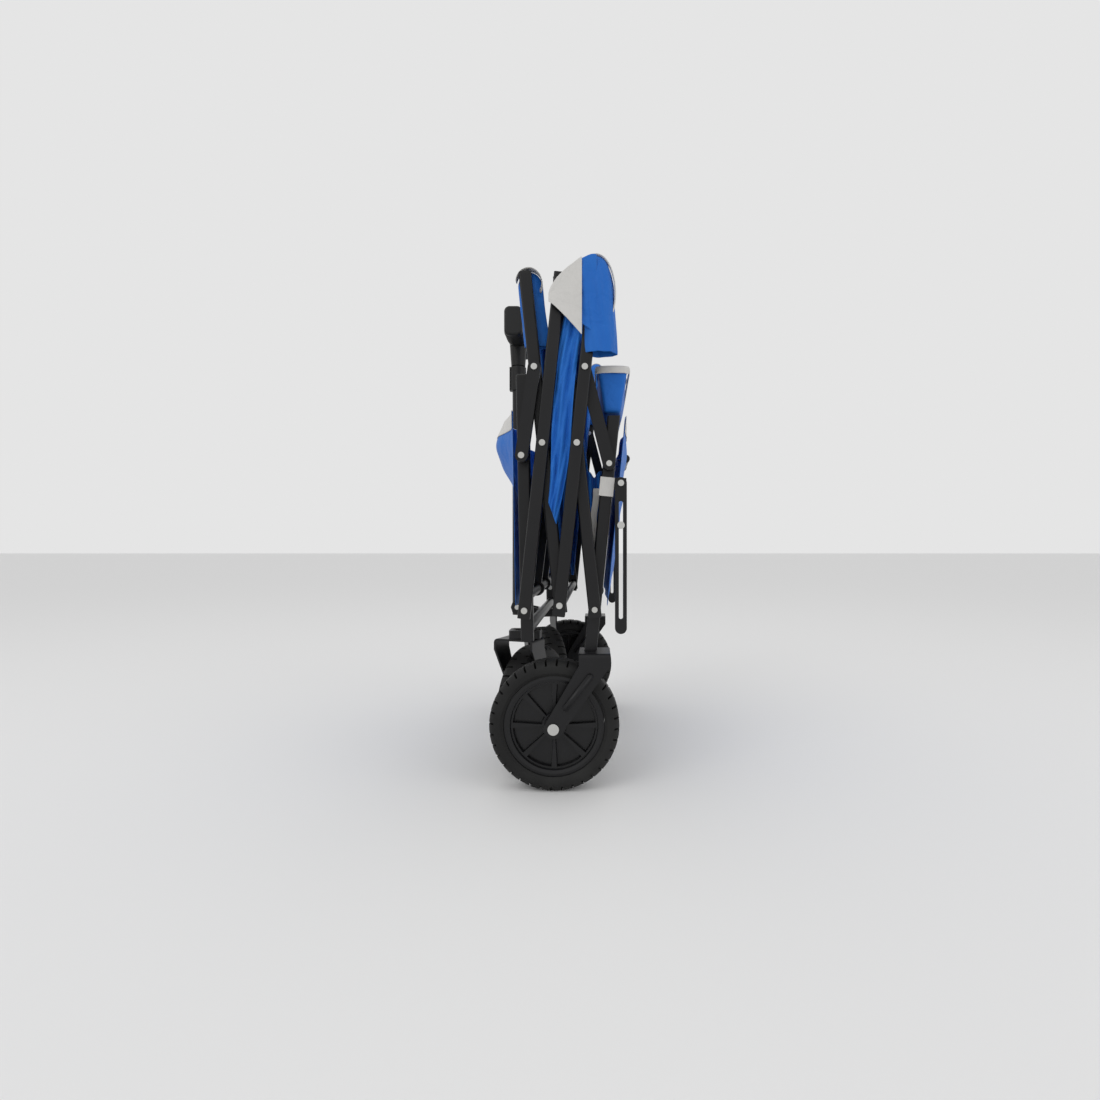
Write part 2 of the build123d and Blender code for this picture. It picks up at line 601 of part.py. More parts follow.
with BuildPart() as stay_brackets:
    post_at = along(*rear_line, stay_top_z)
    bracket_from = post_at + post_width / 2 + 1.0
    with Locations(((bracket_from + stay_x + 8) / 2, -(post_y - 6), stay_top_z)):
        Box(stay_x + 8 - bracket_from, 5, 16)
    with Locations(Location((stay_x, -(post_y - 6), stay_top_z), (90, 0, 0))):
        Cylinder(pin_r, 20, mode=Mode.SUBTRACT)
    mirror(about=Plane.XZ)
save(stay_brackets, "stay_brackets")
save(side_pins([((stay_x, stay_top_z),
                 [(pin_head_r, stay_y + stay_t + pin_head, stay_y + stay_t + seat_gap),
                  (pin_r, stay_y + stay_t + seat_gap, post_y - 8.5)])]), "stay_pivots")
with BuildPart() as stays:
    with BuildSketch(Plane((0, -stay_y, 0), x_dir=(1, 0, 0), z_dir=(0, -1, 0))):
        middle = (stay_top_z + stay_foot_z) / 2
        with Locations(Location((stay_x, middle, 0), (0, 0, 90))):
            SlotCenterToCenter(stay_top_z - stay_foot_z, stay_w)
        with Locations((stay_x, stay_top_z)):
            Circle(loose, mode=Mode.SUBTRACT)
        with Locations(Location((stay_x, (slot_top_z + slot_foot_z) / 2, 0), (0, 0, 90))):
            SlotCenterToCenter(slot_top_z - slot_foot_z, slot_w, mode=Mode.SUBTRACT)
    extrude(amount=stay_t)
    mirror(about=Plane.XZ)
save(stays, "slotted_stays")
save(side_pins([((stay_x, stop_z),
                 [(pin_head_r + 0.8, stay_y + stay_t + pin_head, stay_y + stay_t + seat_gap),
                  (slot_w / 2 - run_fit, stay_y + stay_t + seat_gap, stay_y - seat_gap),
                  (pin_head_r + 0.8, stay_y - seat_gap, stay_y - 3)])]),
     "stay_stop_bolts")

panel_x = along(*rear_line, carry_z) + cross_r + panel_clear + panel_t
with BuildPart() as carry_straps:
    for side in (-1, 1):
        with Locations(((panel_x + seat_gap + carry_x - carry_r) / 2, side * carry_len * 0.42, carry_z)):
            Box(carry_x - carry_r - panel_x - seat_gap, 20, 3)
save(carry_straps, "carry_straps")
with BuildPart() as carry_grip:
    with Locations(Location((carry_x, 0, carry_z), (90, 0, 0))):
        Cylinder(carry_r, carry_len)
    fillet(carry_grip.edges(), 1.5)
save(carry_grip, "carry_grip")


# ---- side cloth: a plain strip inside each pair of long bars, and the folded cloth at the tips -------
def cloth_strips(a, b, from_z, to_z):
    """Pair of strips that follow a bar on the cart's inner side."""
    low, high = along(a, b, from_z), along(a, b, to_z)
    with BuildPart() as strips:
        with BuildSketch(Plane((0, -post_inside + 0.5, 0), x_dir=(1, 0, 0), z_dir=(0, -1, 0))):
            with BuildLine():
                Polyline((low - 6.5, from_z), (low + 6.5, from_z), (high + 6.5, to_z),
                         (high - 6.5, to_z), close=True)
            make_face()
        extrude(amount=-7)
        mirror(about=Plane.XZ)
    return strips


save(cloth_strips(front_foot, front_cross, 292, 560), "front_side_cloth")
save(cloth_strips(rear_foot, rear_cross, 292, 560), "rear_side_cloth")
with BuildPart() as top_cloth:
    tip_x, tip_z = rear_tip
    with BuildSketch(Plane((0, -head_out - seat_gap, 0), x_dir=(1, 0, 0), z_dir=(0, -1, 0))):
        with BuildLine():
            Polyline((tip_x - 54, tip_z - 42), (tip_x - 14, tip_z - 84), (tip_x - 14, tip_z - 112),
                     (tip_x + 24, tip_z - 112), (tip_x + 24, tip_z - 62))
            ThreePointArc((tip_x + 24, tip_z - 62), (tip_x - 10, tip_z + 23), (tip_x - 54, tip_z - 42))
        make_face()
    extrude(amount=2.5)
    mirror(about=Plane.XZ)
save(top_cloth, "rear_top_cloth")
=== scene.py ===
"""Folding beach cart, stood up folded: black scissor frame, blue nylon body, four wheels, pull handle."""

import json
import math

import bmesh
import bpy
from mathutils import Matrix, Vector, noise


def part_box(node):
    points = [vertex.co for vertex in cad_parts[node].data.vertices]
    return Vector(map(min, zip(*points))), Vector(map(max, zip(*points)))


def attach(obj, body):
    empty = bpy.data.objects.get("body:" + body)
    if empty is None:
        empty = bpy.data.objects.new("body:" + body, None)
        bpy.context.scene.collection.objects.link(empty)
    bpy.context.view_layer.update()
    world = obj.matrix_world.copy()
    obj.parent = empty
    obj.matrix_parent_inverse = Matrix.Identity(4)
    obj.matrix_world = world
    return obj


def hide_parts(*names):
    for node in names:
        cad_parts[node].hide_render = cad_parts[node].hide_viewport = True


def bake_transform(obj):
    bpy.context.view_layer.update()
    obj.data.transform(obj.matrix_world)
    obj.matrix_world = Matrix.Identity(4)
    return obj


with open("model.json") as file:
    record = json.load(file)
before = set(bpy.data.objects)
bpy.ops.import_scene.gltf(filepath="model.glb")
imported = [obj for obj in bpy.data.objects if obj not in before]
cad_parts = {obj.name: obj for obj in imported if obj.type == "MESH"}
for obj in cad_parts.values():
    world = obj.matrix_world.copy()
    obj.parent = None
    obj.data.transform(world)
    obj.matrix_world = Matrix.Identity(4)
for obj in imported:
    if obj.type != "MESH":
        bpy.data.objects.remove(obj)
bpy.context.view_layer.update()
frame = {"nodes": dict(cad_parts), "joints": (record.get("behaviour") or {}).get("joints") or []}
nodes = frame["nodes"]
pivot = {j["name"]: Vector(j["pos_m"]) for j in frame["joints"] if "pos_m" in j}


# ---- steel frame ---------------------------------------------------------------------------------
# Rectangular steel tube, satin black powder coat over every bar, post, fork and bracket.
# The coat has a fine orange-peel texture, and thin wear where bars rub.
def colour_group(name, kind):
    """Node group that gives a colour varied by fine noise, and a height for a bump."""
    group = bpy.data.node_groups.new(name, "ShaderNodeTree")
    for label, sort in (("Colour", "NodeSocketColor"), ("Worn colour", "NodeSocketColor"),
                        ("Scale", "NodeSocketFloat"), ("Amount", "NodeSocketFloat")):
        group.interface.new_socket(label, in_out="INPUT", socket_type=sort)
    for label, sort in (("Colour", "NodeSocketColor"), ("Height", "NodeSocketFloat")):
        group.interface.new_socket(label, in_out="OUTPUT", socket_type=sort)
    given = group.nodes.new("NodeGroupInput")
    out = group.nodes.new("NodeGroupOutput")
    place = group.nodes.new("ShaderNodeTexCoord")
    fine = group.nodes.new("ShaderNodeTexNoise")
    fine.inputs["Detail"].default_value = 3.0
    broad = group.nodes.new("ShaderNodeTexNoise")
    broad.inputs["Scale"].default_value = kind
    broad.inputs["Detail"].default_value = 5.0
    spread = group.nodes.new("ShaderNodeMapRange")
    spread.inputs["From Min"].default_value = 0.45
    spread.inputs["From Max"].default_value = 0.75
    amount = group.nodes.new("ShaderNodeMath")
    amount.operation = "MULTIPLY"
    mix = group.nodes.new("ShaderNodeMix")
    mix.data_type = "RGBA"
    link = group.links.new
    link(place.outputs["Object"], fine.inputs["Vector"])
    link(place.outputs["Object"], broad.inputs["Vector"])
    link(given.outputs["Scale"], fine.inputs["Scale"])
    link(broad.outputs["Fac"], spread.inputs["Value"])
    link(spread.outputs["Result"], amount.inputs[0])
    link(given.outputs["Amount"], amount.inputs[1])
    link(amount.outputs[0], mix.inputs["Factor"])
    link(given.outputs["Colour"], mix.inputs[6])
    link(given.outputs["Worn colour"], mix.inputs[7])
    link(mix.outputs[2], out.inputs["Colour"])
    link(fine.outputs["Fac"], out.inputs["Height"])
    return group


mottle = colour_group("mottled surface", 14.0)


def finish(name, colour, worn, rough, metal=0.0, grain=900.0, amount=0.25, bump=0.15, coat=0.0, deep=0.0002,
           shine=0.32):
    """Material with a mottled colour and a fine grain."""
    made = bpy.data.materials.new(name)
    made.use_nodes = True
    shader = made.node_tree.nodes["Principled BSDF"]
    shader.inputs["Roughness"].default_value = rough
    shader.inputs["Metallic"].default_value = metal
    shader.inputs["Coat Weight"].default_value = coat
    shader.inputs["Specular IOR Level"].default_value = shine
    spots = made.node_tree.nodes.new("ShaderNodeGroup")
    spots.node_tree = mottle
    spots.inputs["Colour"].default_value = (*colour, 1)
    spots.inputs["Worn colour"].default_value = (*worn, 1)
    spots.inputs["Scale"].default_value = grain
    spots.inputs["Amount"].default_value = amount
    relief = made.node_tree.nodes.new("ShaderNodeBump")
    relief.inputs["Strength"].default_value = bump
    relief.inputs["Distance"].default_value = deep
    made.node_tree.links.new(spots.outputs["Colour"], shader.inputs["Base Color"])
    made.node_tree.links.new(spots.outputs["Height"], relief.inputs["Height"])
    made.node_tree.links.new(relief.outputs["Normal"], shader.inputs["Normal"])
    return made


def paint(material, *names):
    for name in names:
        nodes[name].data.materials.clear()
        nodes[name].data.materials.append(material)


powder_black = finish("black powder coat", (0.006, 0.006, 0.007), (0.016, 0.016, 0.018), 0.34, bump=0.3)
paint(powder_black, "front_posts", "rear_posts", "front_cross_tubes", "rear_cross_tubes",
      "front_long_bars", "front_tall_bars", "rear_tall_bars", "rear_long_bars", "front_links",
      "rear_links", "caster_brackets", "handle_bracket", "rear_forks", "front_left_fork",
      "front_right_fork", "stay_brackets", "slotted_stays", "centre_cross_tube", "handle_outer_tube",
      "front_floor_frame", "rear_floor_frame")
black_tube = finish("dark sliding tube", (0.02, 0.02, 0.022), (0.04, 0.04, 0.045), 0.28, metal=0.6)
paint(black_tube, "handle_inner_tube")

# ---- rivets and bolts ----------------------------------------------------------------------------
# Zinc-plated steel, domed by the press. Each is bright against the black bars.
bright_zinc = finish("bright zinc", (0.62, 0.62, 0.60), (0.40, 0.39, 0.37), 0.28, metal=1.0, amount=0.4)
paint(bright_zinc, "front_long_bar_pins", "front_tall_bar_pins", "rear_tall_bar_pins",
      "rear_long_bar_pins", "front_link_rivets", "rear_link_rivets", "front_post_pins",
      "rear_post_pins", "rear_axles", "front_left_axle", "front_right_axle", "handle_pivot_pin",
      "stay_pivots", "stay_stop_bolts")

# ---- moulded plastic: bar plugs, strap keeper and T grip -----------------------------------------
# Black polypropylene with a light spark-eroded grain.
grained_black = finish("grained black plastic", (0.007, 0.007, 0.007), (0.016, 0.016, 0.016), 0.45,
                       grain=1500)
paint(grained_black, "front_post_plugs", "front_bar_plugs", "rear_bar_plugs", "bar_foot_plugs",
      "strap_keeper", "handle_grip")


def settle(mesh_maker, name, body, material, smooth=True):
    """Turns a finished bmesh into a piece that rides on a body."""
    mesh = bpy.data.meshes.new(name)
    bmesh.ops.remove_doubles(mesh_maker, verts=mesh_maker.verts, dist=0.00002)
    bmesh.ops.recalc_face_normals(mesh_maker, faces=mesh_maker.faces)
    mesh_maker.to_mesh(mesh)
    mesh_maker.free()
    for face in mesh.polygons:
        face.use_smooth = smooth
    piece = bpy.data.objects.new(name, mesh)
    bpy.context.scene.collection.objects.link(piece)
    mesh.materials.append(material)
    if body:
        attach(piece, body)
    return piece


# soft ribs round the T grip, where the fingers close
grip_low, grip_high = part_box("handle_grip")
grip_centre = (grip_low + grip_high) / 2
first_rib, rib_pitch = 0.026, 0.0055
for side in (-1, 1):
    ribs = bmesh.new()
    for count in range(7):
        rib_y = side * (first_rib + rib_pitch * count)
        made = bmesh.ops.create_cube(ribs, size=1.0)["verts"]
        bmesh.ops.scale(ribs, vec=(0.0314, 0.0024, 0.0494), verts=made)
        bmesh.ops.translate(ribs, vec=(grip_centre.x, rib_y, grip_high.z - 0.0240), verts=made)
    bmesh.ops.bevel(ribs, geom=[e for e in ribs.edges if abs((e.verts[0].co - e.verts[1].co).y) > 0.001],
                    offset=0.0088, segments=5, affect="EDGES", profile=0.5, material=-1)
    bmesh.ops.bevel(ribs, geom=ribs.edges[:], offset=0.0004, segments=1, affect="EDGES", profile=0.5,
                    material=-1)
    settle(ribs, "grip_ribs_" + ("left" if side < 0 else "right"), "handle_rod", grained_black,
           smooth=False)

# ---- tyres ---------------------------------------------------------------------------------------
# Foamed rubber with cut shoulder lugs; dull, a little dusty.
dusty_rubber = finish("dusty rubber", (0.008, 0.008, 0.008), (0.028, 0.028, 0.027), 0.7, grain=500,
                      amount=0.5)
for axle_end in ("front_left", "front_right", "rear_left", "rear_right"):
    paint(dusty_rubber, axle_end + "_tyre")

# ---- wheel centres -------------------------------------------------------------------------------
# Injection-moulded black wheels: a raised ring, a hub boss and eight wedge-shaped recesses between
# flat spokes, on both faces. They take the place of the plain wheel centres.
wheel_black = finish("moulded wheel black", (0.007, 0.007, 0.008), (0.02, 0.02, 0.021), 0.28, grain=1200)
spoke_steps, recess_steps = 1, 5
hub_rim, recess_in, recess_out, lip_in, lip_out = 0.0125, 0.0165, 0.0560, 0.0585, 0.0675
face_half, boss_half = 0.0125, 0.0205
spokes, recess_depth = 8, 0.0065
spoke_share = 0.084
for wheel in ("front_left", "front_right", "rear_left", "rear_right"):
    body = ("front_wheel_" if wheel.startswith("front") else "rear_wheel_") + wheel.split("_")[1]
    spin_name = body + "_spin"
    centre = pivot[spin_name]
    axis = Vector(next(j["axis"] for j in frame["joints"] if j["name"] == spin_name))
    disc = bmesh.new()
    steps = spokes * (spoke_steps + recess_steps) * 2
    radii = [(0.0056, boss_half), (hub_rim - 0.0015, boss_half), (hub_rim, boss_half - 0.0015),
             (hub_rim + 0.001, face_half), (recess_in, face_half), (recess_out, face_half),
             (lip_in, face_half), (lip_in + 0.001, face_half + 0.004), (lip_out - 0.004, face_half + 0.0055),
             (lip_out, face_half + 0.0045), (lip_out, 0.0)]
    points = [disc.verts.new((r, 0, h)) for r, h in radii]
    edges = [disc.edges.new(pair) for pair in zip(points, points[1:])]
    bmesh.ops.spin(disc, geom=points + edges, cent=(0, 0, 0), axis=(0, 0, 1), angle=2 * math.pi,
                   steps=steps, use_merge=True)
    wedge = 2 * math.pi / spokes
    recesses = []
    for face in disc.faces:
        middle = face.calc_center_median()
        across = math.hypot(middle.x, middle.y)
        turn = (math.atan2(middle.y, middle.x) % wedge) / wedge
        if recess_in < across < recess_out and spoke_share < turn < 1 - spoke_share:
            recesses.append(face)
    bmesh.ops.inset_region(disc, faces=recesses, thickness=0.0012, depth=-recess_depth)
    bmesh.ops.mirror(disc, geom=disc.verts[:] + disc.edges[:] + disc.faces[:], axis="Z",
                     merge_dist=0.00001)
    stand = axis.to_track_quat("Z", "Y").to_matrix().to_4x4()
    bmesh.ops.transform(disc, matrix=Matrix.Translation(centre) @ stand, verts=disc.verts)
    piece = settle(disc, wheel + "_wheel_centre", body, wheel_black, smooth=False)
    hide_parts(wheel + "_rim")

# ---- fork ribs -----------------------------------------------------------------------------------
# A pressed rib runs down the outer face of each fork leg to stiffen it.
fork_top_x, fork_top_z, leg_half = 0.0455, 0.160, 0.031
for number, hub in enumerate((pivot["rear_wheel_left_spin"], pivot["rear_wheel_right_spin"])):
    for face in (-1, 1):
        rib = bmesh.new()
        start, stop = Vector((hub.x + 0.014, 0, hub.z + 0.025)), Vector((fork_top_x - 0.004, 0, fork_top_z))
        length = (stop - start).length
        bmesh.ops.create_cube(rib, size=1.0)
        bmesh.ops.scale(rib, vec=(0.008, 0.0022, length), verts=rib.verts)
        bmesh.ops.bevel(rib, geom=[e for e in rib.edges if abs((e.verts[0].co - e.verts[1].co).y) > 0.001],
                        offset=0.0038, segments=4, affect="EDGES", profile=0.5, material=-1)
        lean = math.atan2(stop.x - start.x, stop.z - start.z)
        middle = (start + stop) / 2
        place = Matrix.Translation((middle.x, hub.y + face * (leg_half + 0.0033), middle.z))
        bmesh.ops.transform(rib, matrix=place @ Matrix.Rotation(lean, 4, "Y"), verts=rib.verts)
        settle(rib, f"fork_rib_{number}_{'in' if face * hub.y < 0 else 'out'}", "rear_frame", powder_black)


# ---- cloth ---------------------------------------------------------------------------------------
# Royal-blue coated nylon, plain weave, with light-grey tape bound over its edges.
def cloth_material(name, colour, worn, rough=0.62):
    made = finish(name, colour, worn, rough, grain=2600, amount=0.35, bump=0.5)
    shader = made.node_tree.nodes["Principled BSDF"]
    shader.inputs["Sheen Weight"].default_value = 0.08
    shader.inputs["Sheen Roughness"].default_value = 0.5
    crease = made.node_tree.nodes.new("ShaderNodeTexNoise")
    crease.inputs["Scale"].default_value = 38.0
    crease.inputs["Detail"].default_value = 4.0
    crease.inputs["Distortion"].default_value = 1.2
    place = made.node_tree.nodes.new("ShaderNodeTexCoord")
    folds = made.node_tree.nodes.new("ShaderNodeBump")
    folds.inputs["Strength"].default_value = 0.55
    folds.inputs["Distance"].default_value = 0.004
    fine = next(n for n in made.node_tree.nodes if n.type == "BUMP" and n != folds)
    made.node_tree.links.new(place.outputs["Object"], crease.inputs["Vector"])
    made.node_tree.links.new(crease.outputs["Fac"], folds.inputs["Height"])
    made.node_tree.links.new(folds.outputs["Normal"], fine.inputs["Normal"])
    return made


blue_nylon = cloth_material("royal blue nylon", (0.006, 0.125, 0.50), (0.018, 0.19, 0.62))
grey_tape = cloth_material("light grey tape", (0.60, 0.59, 0.57), (0.72, 0.71, 0.69))


def thicken(piece, thickness, levels=1):
    """Gives a sheet its thickness and rounds it."""
    solid = piece.modifiers.new("thickness", "SOLIDIFY")
    solid.thickness = thickness
    solid.offset = 0.0
    if levels:
        rounder = piece.modifiers.new("rounding", "SUBSURF")
        rounder.levels = levels
        rounder.render_levels = levels
    return piece


def ripple(place, size, scale, seed):
    """Smooth crumple, the same each run."""
    return size * noise.fractal(Vector(place) * scale + Vector((seed, 0, 0)), 0.8, 2.0, 3)


# ---- front cloth panel ---------------------------------------------------------------------------
# Wall of the cart's front end, laced to the front posts. Folded, it has slack, so each half bulges
# forwards beside the handle, under a grey bound hem.
def wall(name, body, node, lean, belly, side, seed, hem_height, clear_half, belly_z, belly_tall):
    """Cloth wall between two posts. belly is how far it bulges, side the way, -1 or 1 along X."""
    low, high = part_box(node)
    width, height = high.y - low.y, high.z - low.z
    skin = bmesh.new()
    bmesh.ops.create_grid(skin, x_segments=64, y_segments=40, size=0.5)
    for vertex in skin.verts:
        u, v = vertex.co.x + 0.5, vertex.co.y + 0.5
        y = low.y + width * u
        z = low.z + height * v
        beside = min(1.0, max(0.0, (abs(y) - clear_half) / 0.05))
        swell = math.sin(math.pi * u * 2) ** 2 * beside * math.exp(-((z - belly_z) / belly_tall) ** 2)
        rest_x = lean(z) + side * 0.001
        fold = ripple((y, z, 0), 0.007, 13, seed) * (0.35 + 0.65 * beside) * math.sin(math.pi * u)
        vertex.co = Vector((rest_x + side * (belly * swell + abs(fold)), y, z))
    panel = settle(skin, name, body, blue_nylon)
    hem = bmesh.new()
    bmesh.ops.create_grid(hem, x_segments=64, y_segments=3, size=0.5)
    for vertex in hem.verts:
        u, v = vertex.co.x + 0.5, vertex.co.y + 0.5
        y = low.y + width * u
        z = high.z - hem_height * (1 - v) + 0.001
        beside = min(1.0, max(0.0, (abs(y) - clear_half) / 0.05))
        swell = math.sin(math.pi * u * 2) ** 2 * beside
        bulge = belly * swell * math.exp(-((z - belly_z) / belly_tall) ** 2)
        fold = ripple((y, z, 0), 0.007, 13, seed) * (0.35 + 0.65 * beside) * math.sin(math.pi * u)
        vertex.co = Vector((lean(z) + side * (0.0024 + bulge + abs(fold)), y, z))
    band = settle(hem, name + "_hem", body, grey_tape)
    thicken(panel, 0.0012)
    thicken(band, 0.0014)
    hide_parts(node)
    return panel


def between(low, high, face):
    """X of a leaning slab's outer face, by height."""
    return lambda z: low[0] + (high[0] - low[0]) * (z - low[1]) / (high[1] - low[1]) + face


front_low, front_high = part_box("front_panel")
rear_low, rear_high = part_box("rear_panel")
slab = 0.0036
front_lean = between((front_high.x - slab, front_low.z), (front_low.x, front_high.z), 0.0)
rear_lean = between((rear_low.x + slab, rear_low.z), (rear_high.x, rear_high.z), 0.0)
wall("front_cloth", "front_frame", "front_panel", front_lean, belly=0.036, side=-1, seed=3.0,
     hem_height=0.026, clear_half=0.018, belly_z=0.480, belly_tall=0.055)
wall("rear_cloth", "rear_frame", "rear_panel", rear_lean, belly=0.008, side=1, seed=7.0,
     hem_height=0.020, clear_half=0.0, belly_z=0.400, belly_tall=0.120)

# ---- side cloth ----------------------------------------------------------------------------------
# The long side walls hang inside the bars. Folded, each stretch between two bars is pleated, and it
# opens like a fan about their pivot.
inner_face = 0.2150
pleat_depth = 0.013
fans = [("side_cloth_front", "front_frame", "front_long", "fold", -2.0, 6.0, 0.030, 0.215, 30),
        ("side_cloth_front_top", "front_tall", "front_long", "front_cross", -6.0, 6.0, 0.012, 0.215, 42),
        ("side_cloth_centre", "front_tall", "rear_tall", "centre_foot", -6.0, 6.0, 0.020, 0.208, 0),
        ("side_cloth_rear_top", "rear_long", "rear_tall", "rear_cross", -6.0, 6.0, 0.012, 0.215, 42),
        ("side_cloth_rear", "rear_long", "rear_frame", "rear_foot", -6.0, 5.6, 0.030, 0.215, 30)]
for number, (name, first, second, joint, from_turn, to_turn, near, far, open_half) in enumerate(fans):
    for side in (-1, 1):
        hinge = pivot[joint]
        fan = bmesh.new()
        bmesh.ops.create_grid(fan, x_segments=30, y_segments=26, size=0.5)
        for vertex in fan.verts:
            u, v = vertex.co.x + 0.5, vertex.co.y + 0.5
            half = math.radians(open_half)
            edge = far * math.cos(half) / math.cos(half * (2 * u - 1))
            reach = near + (edge - near) * v
            turn = math.radians(from_turn + (to_turn - from_turn) * u)
            wave = 0.5 - 0.5 * math.cos(2 * math.pi * 3 * u)
            depth = (0.001 + pleat_depth * wave * (0.25 + 0.75 * v)
                     + abs(ripple((u, v, side), 0.002, 5, number)))
            drop = 0.004 * wave * v
            vertex.co = Vector((hinge.x + reach * math.sin(turn), side * (inner_face - depth),
                                hinge.z + reach * math.cos(turn) - drop))
        piece = settle(fan, f"{name}_{'left' if side < 0 else 'right'}", None, blue_nylon)
        thicken(piece, 0.0009, 0)
        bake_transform(piece)
        if name == "side_cloth_front":
            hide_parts("front_side_cloth")
        if name == "side_cloth_rear":
            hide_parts("rear_side_cloth")

# ---- drape between the long and the tall bar -----------------------------------------------------
# Slack of the side wall, pushed out between two bars and hanging in sharp folds beside the tall bar.
cross_front, cross_rear = pivot["front_cross"], pivot["rear_cross"]
bar_slope = math.tan(math.radians(6.07))
bar_half = 0.0092
drape_low, drape_tall, drape_slant = 0.388, 0.262, 0.030
drape_y, fold_limit = 0.2528, 0.0048
for side in (-1, 1):
    drape = bmesh.new()
    bmesh.ops.create_grid(drape, x_segments=22, y_segments=60, size=0.5)
    for vertex in drape.verts:
        u, v = vertex.co.x + 0.5, vertex.co.y + 0.5
        z = drape_low + drape_tall * v - drape_slant * u * (1 - v)
        left = cross_front.x + (z - cross_front.z) * bar_slope + bar_half
        right = cross_rear.x + (z - cross_rear.z) * bar_slope - bar_half
        narrow = 0.5 + 0.5 * min(1.0, v / 0.35)
        middle = (left + right) / 2
        x = middle + (right - left) * (u - 0.5) * narrow + 0.002 * math.sin(7 * v)
        fold = (0.0022 * math.sin(11 * u + 6 * v) + 0.0014 * math.sin(23 * u - 15 * v)
                + ripple((u, v * 4, side), 0.0024, 2.0, 41.0))
        vertex.co = Vector((x, side * (drape_y + max(-fold_limit, min(fold_limit, fold))), z))
    thicken(settle(drape, "side_drape_" + ("left" if side < 0 else "right"), "rear_tall", blue_nylon), 0.0009)

# ---- grey strip beside the rear posts ------------------------------------------------------------
# End of the side wall's binding, hanging loose inside the post.
strip_x, strip_wide, strip_y = 0.0385, 0.009, 0.2166
strip_low, strip_tall = 0.325, 0.085
for side in (-1, 1):
    strip = bmesh.new()
    bmesh.ops.create_grid(strip, x_segments=5, y_segments=26, size=0.5)
    for vertex in strip.verts:
        u, v = vertex.co.x + 0.5, vertex.co.y + 0.5
        z = strip_low + strip_tall * v
        vertex.co = Vector((strip_x + strip_wide * u + 0.004 * v + 0.001 * math.sin(9 * v),
                            side * (strip_y + 0.0004 * math.sin(14 * v)), z))
    thicken(settle(strip, "loose_tape_" + ("left" if side < 0 else "right"), "rear_frame", grey_tape), 0.0008)

# ---- cloth cap over the rear tall bars -----------------------------------------------------------
# The top corner of the side wall is sewn into a deep hood that drops over the bar's end; folded, it
# stands up as a rounded dome with a grey bound edge.
tip_low, tip_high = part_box("rear_top_cloth")
plug_low, plug_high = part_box("rear_bar_plugs")
tip_x = (plug_low.x + plug_high.x) / 2
hood_top = tip_high.z - 0.001
dome_tall, hood_y, flap_y = 0.052, 0.2510, 0.2632
for side in (-1, 1):
    name = "left" if side < 0 else "right"
    hood = bmesh.new()
    bmesh.ops.create_uvsphere(hood, u_segments=48, v_segments=24, radius=1.0)
    bmesh.ops.bisect_plane(hood, geom=hood.verts[:] + hood.edges[:] + hood.faces[:], plane_co=(0, 0, 0),
                           plane_no=(0, 0, -1), clear_outer=True)
    skirt = [e for e in hood.edges if e.is_boundary]
    for level in range(8):
        grown = bmesh.ops.extrude_edge_only(hood, edges=skirt)["geom"]
        fresh = [g for g in grown if isinstance(g, bmesh.types.BMVert)]
        bmesh.ops.translate(hood, vec=(0, 0, -0.25), verts=fresh)
        skirt = [g for g in grown if isinstance(g, bmesh.types.BMEdge)]
    for vertex in hood.verts:
        x, y, z = vertex.co
        height = hood_top - dome_tall + 0.050 * max(z, 0) + 0.0405 * min(z, 0)
        fold = ripple((x * 1.5, y, z * 0.35), 0.0030, 1.9, 5.0 + side)
        flute = 0.0018 * math.sin(9.0 * x + 2.0 * z) * min(1.0, 1.0 - z)
        wide = 0.0225 + 0.0010 * math.sin(3.0 * z) + fold
        lean = -0.0022 * min(z, 0)
        deep = 0.0140 + 0.3 * fold + flute * (1 - abs(x))
        vertex.co = Vector((tip_x + 0.0015 + lean + x * wide, side * hood_y + y * deep, height))
    piece = settle(hood, "corner_hood_" + name, "rear_tall", blue_nylon)
    thicken(piece, 0.0010)
    if side < 0:
        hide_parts("rear_top_cloth")

    # the flap sewn to the hood's front edge, gathered towards the long bar
    flap = bmesh.new()
    bmesh.ops.create_grid(flap, x_segments=28, y_segments=30, size=0.5)
    for vertex in flap.verts:
        u, v = vertex.co.x + 0.5, vertex.co.y + 0.5
        top = hood_top - 0.004 - 0.060 * (1 - u) ** 2.2
        foot = hood_top - 0.066 - 0.045 * u
        left = tip_low.x + 0.002
        x = left + (tip_x + 0.002 - left) * u
        crease = 0.0007 * math.sin(24 * u + 5 * v) + ripple((u, v, side), 0.0012, 4, 9.0)
        vertex.co = Vector((x, side * (flap_y + 0.0012 * math.sin(math.pi * u) + crease),
                            foot + (top - foot) * v))
    thicken(settle(flap, "corner_flap_" + name, "rear_tall", blue_nylon), 0.0010)

    # grey tape along the arched edge
    tape = bmesh.new()
    arch = []
    for step in range(33):
        turn = math.radians(-50 + 5.2 * step)
        arch.append(tape.verts.new((tip_x + 0.0015 + 0.0250 * math.cos(turn), side * 0.2490,
                                    hood_top - dome_tall + 0.0512 * math.sin(turn))))
    lines = [tape.edges.new(pair) for pair in zip(arch, arch[1:])]
    grown = bmesh.ops.extrude_edge_only(tape, edges=lines)["geom"]
    bmesh.ops.translate(tape, vec=(0, side * 0.0085, 0), verts=[g for g in grown
                                                              if isinstance(g, bmesh.types.BMVert)])
    thicken(settle(tape, "corner_hood_tape_" + name, "rear_tall", grey_tape), 0.0024, 1)

